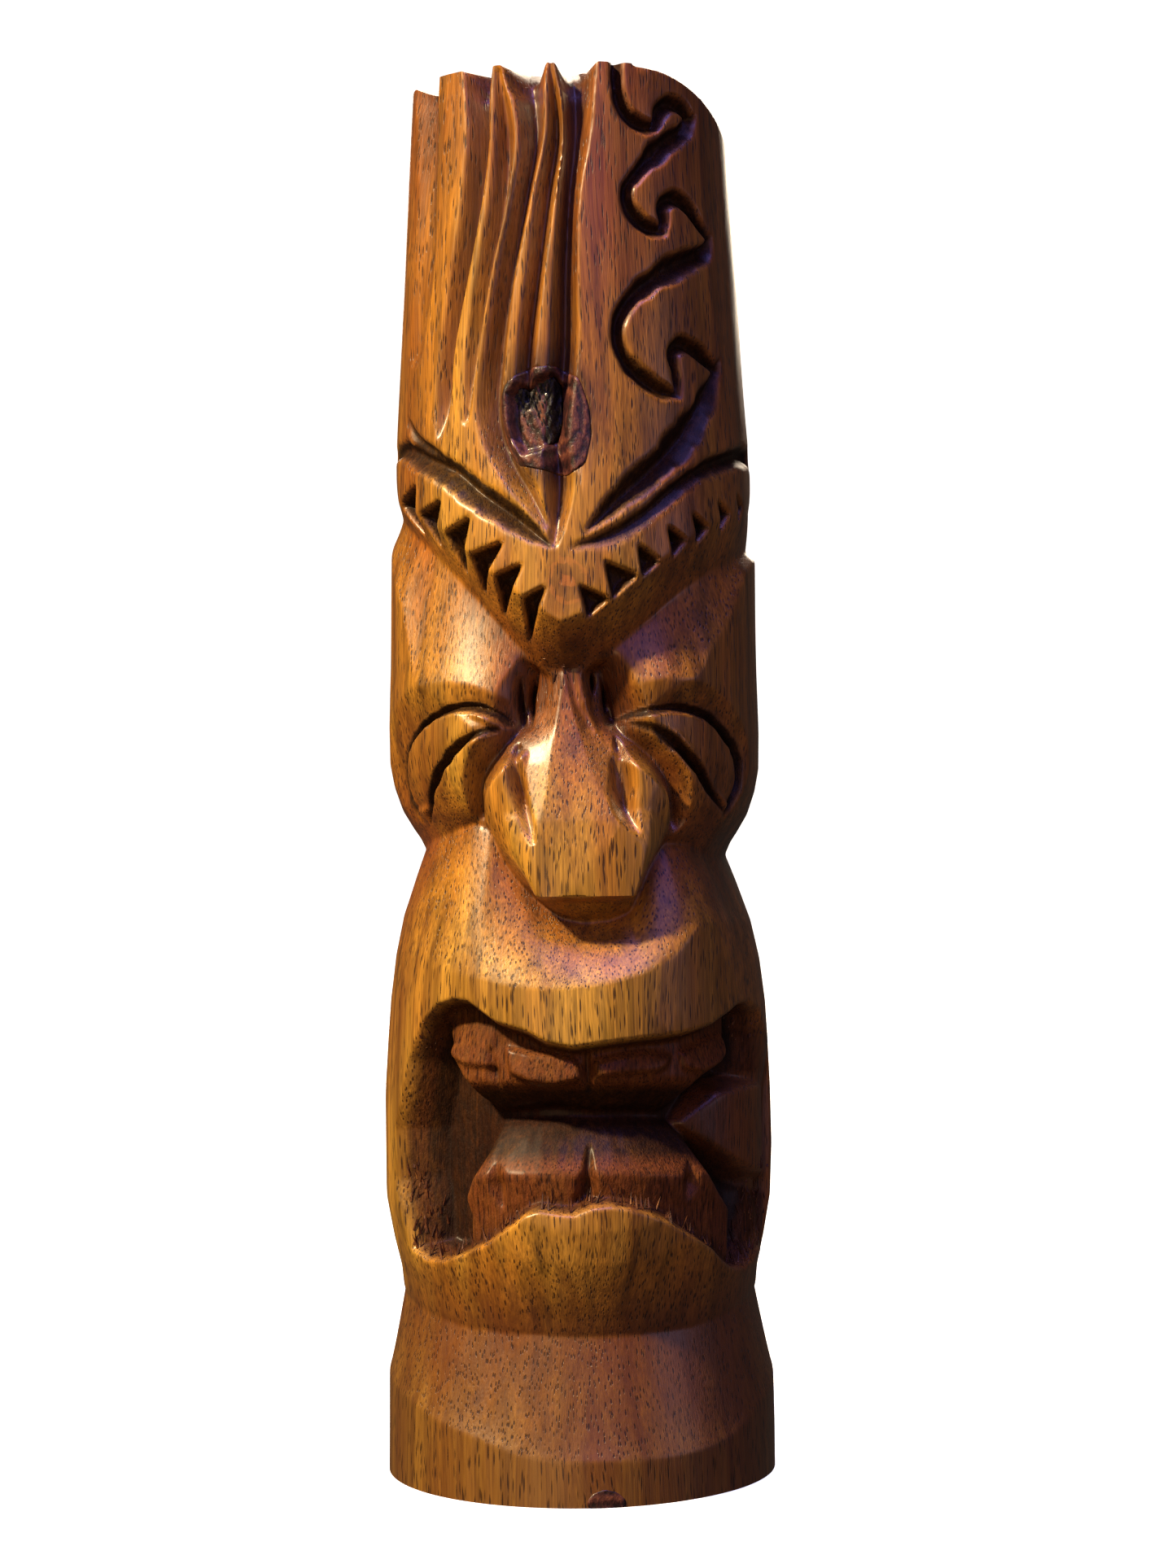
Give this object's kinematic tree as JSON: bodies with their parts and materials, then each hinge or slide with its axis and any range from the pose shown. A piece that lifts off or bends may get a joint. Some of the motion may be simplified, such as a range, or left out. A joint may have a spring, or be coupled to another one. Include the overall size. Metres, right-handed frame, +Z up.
{
  "type": "carved tiki figure",
  "caption": "Standing tiki statuette carved from one hardwood log: tall fluted crown with wave scroll, scowling face, wide open mouth with teeth, round foot.",
  "frame": {"origin": "centre of the foot's underside, on the surface that the figure stands on", "axes": "+Z up along the log, the face looks along -Y, +X to the right of someone who faces the figure"},
  "size_m": [0.086, 0.086, 0.305],
  "materials": {
    "log_wood": "oiled and lacquered, satin to gloss",
    "knot_wood": "rough dead wood",
    "knot_bark": "ingrown bark, lacquered",
    "foot_knot_wood": "small dead knot, lacquered"
  },
  "bodies": {
    "root": {"carved_log": "log_wood", "crown_knot": "knot_wood", "crown_knot_bark": "knot_bark", "base_knot": "foot_knot_wood"}
  },
  "joints": []
}
